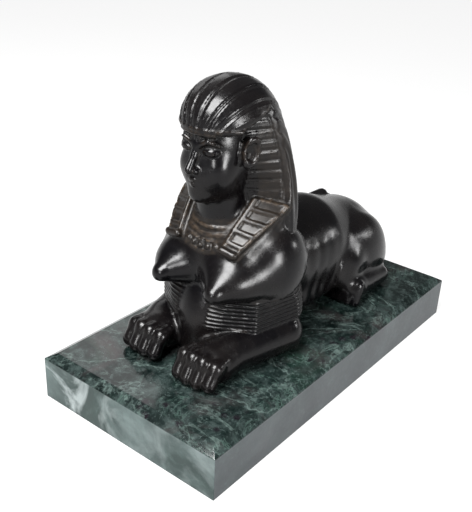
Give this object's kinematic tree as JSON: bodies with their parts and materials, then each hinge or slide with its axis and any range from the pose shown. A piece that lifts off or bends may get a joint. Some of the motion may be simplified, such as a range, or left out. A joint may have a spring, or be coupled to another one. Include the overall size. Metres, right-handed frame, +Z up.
{
  "type": "sphinx statue",
  "caption": "Tabletop sphinx with striped headcloth lying with forelegs stretched out, dark patinated bronze on a chamfered green marble plinth.",
  "frame": {"origin": "centre of the plinth's underside", "axes": "+Z up; -Y the way the sphinx looks, along the plinth's length; +X the sphinx's left"},
  "size_m": [0.108, 0.21, 0.1585],
  "materials": {
    "bronze": "dark brown to black patina, waxed, worn to brown on the high spots",
    "marble": "polished green serpentine marble with pale veins"
  },
  "bodies": {
    "root": {"plinth": "marble", "sphinx_figure": "bronze"}
  },
  "joints": []
}
